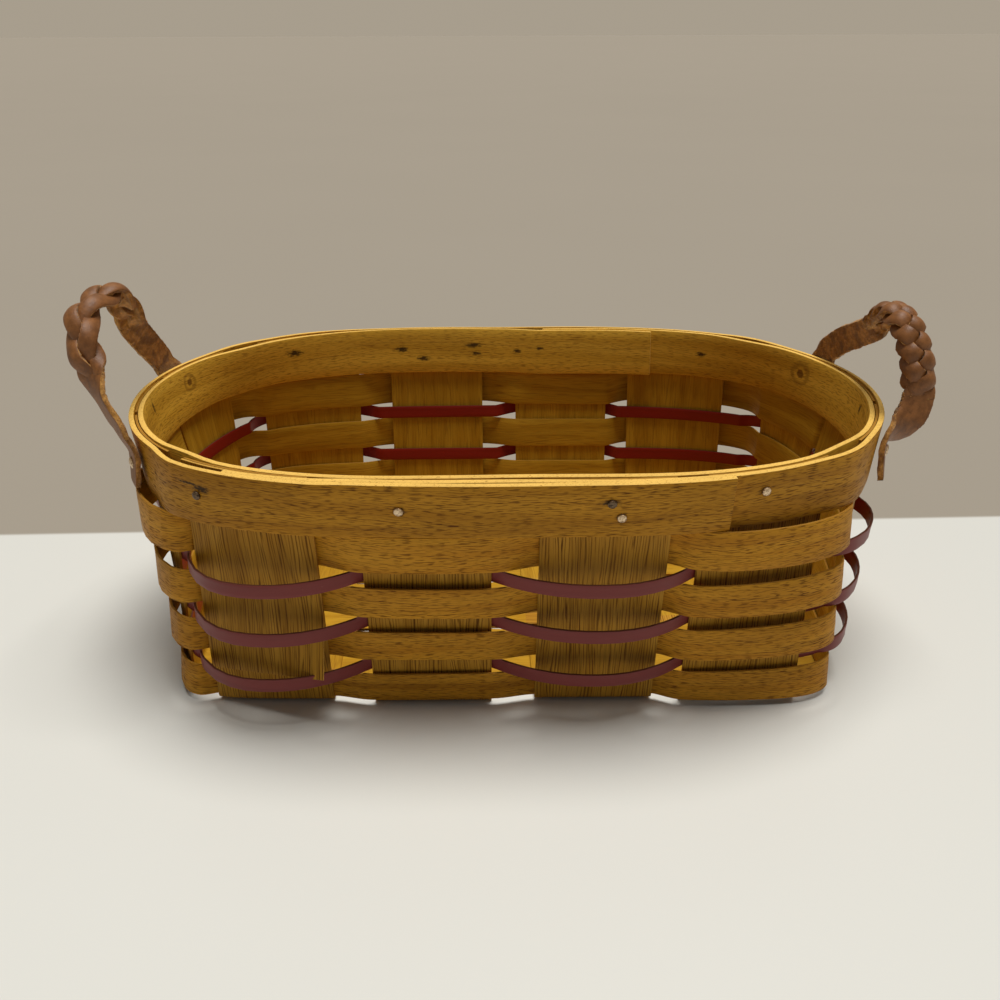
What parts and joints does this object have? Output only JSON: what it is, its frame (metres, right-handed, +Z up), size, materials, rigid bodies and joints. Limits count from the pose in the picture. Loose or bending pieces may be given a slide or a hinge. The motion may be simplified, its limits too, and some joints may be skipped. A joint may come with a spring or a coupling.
{
  "type": "woven wood basket",
  "caption": "Oval open basket woven from flat wood strips, with bowed red accent strips, a nailed rim band and braided leather ears.",
  "frame": {"origin": "on the surface that the basket stands on, below the middle of the whole basket with its ears", "axes": "+X along the basket's length towards its right ear, +Y from the front to the back, +Z up"},
  "size_m": [0.357, 0.2154, 0.1699],
  "materials": {
    "stake_wood": "satin varnish",
    "weaver_wood": "satin varnish",
    "rim_wood": "satin varnish",
    "red_wood": "satin stain",
    "nail_brass": "worn satin",
    "leather": "matte, suede on one side"
  },
  "bodies": {
    "basket": {"cross_stake_1": "stake_wood", "cross_stake_2": "stake_wood", "cross_stake_3": "stake_wood", "cross_stake_4": "stake_wood", "long_stake_1": "stake_wood", "long_stake_2": "stake_wood", "long_stake_3": "stake_wood", "stake_ply": "stake_wood", "wide_weaver_1": "weaver_wood", "wide_weaver_2": "weaver_wood", "wide_weaver_3": "weaver_wood", "wide_weaver_4": "weaver_wood", "red_weaver_1": "red_wood", "red_weaver_2": "red_wood", "red_weaver_3": "red_wood", "outer_rim_band": "rim_wood", "inner_rim_band": "rim_wood", "rim_nail_1": "nail_brass", "rim_nail_2": "nail_brass", "rim_nail_3": "nail_brass", "rim_nail_4": "nail_brass", "rim_nail_5": "nail_brass", "rim_nail_6": "nail_brass", "rim_nail_7": "nail_brass", "rim_nail_8": "nail_brass", "rim_nail_9": "nail_brass", "rim_nail_10": "nail_brass", "rim_nail_11": "nail_brass", "left_ear_front_tab": "leather", "left_ear_back_tab": "leather", "right_ear_front_tab": "leather", "right_ear_back_tab": "leather", "left_ear_front_nail": "nail_brass", "left_ear_back_nail": "nail_brass", "right_ear_front_nail": "nail_brass", "right_ear_back_nail": "nail_brass"},
    "left_ear": {"left_ear_loop": "leather"},
    "right_ear": {"right_ear_loop": "leather"}
  },
  "joints": [
    {"name": "left_ear_bend", "type": "hinge", "parent": "basket", "child": "left_ear", "pos_m": [-0.15404, -0.05117, 0.119], "axis": [0.0659, -0.9978, 0], "range_deg": [-80, 30], "stiffness_Nm_per_rad": 0.06},
    {"name": "right_ear_bend", "type": "hinge", "parent": "basket", "child": "right_ear", "pos_m": [0.16051, -0.05097, 0.119], "axis": [0.0242, 0.9997, 0], "range_deg": [-80, 30], "stiffness_Nm_per_rad": 0.06}
  ]
}
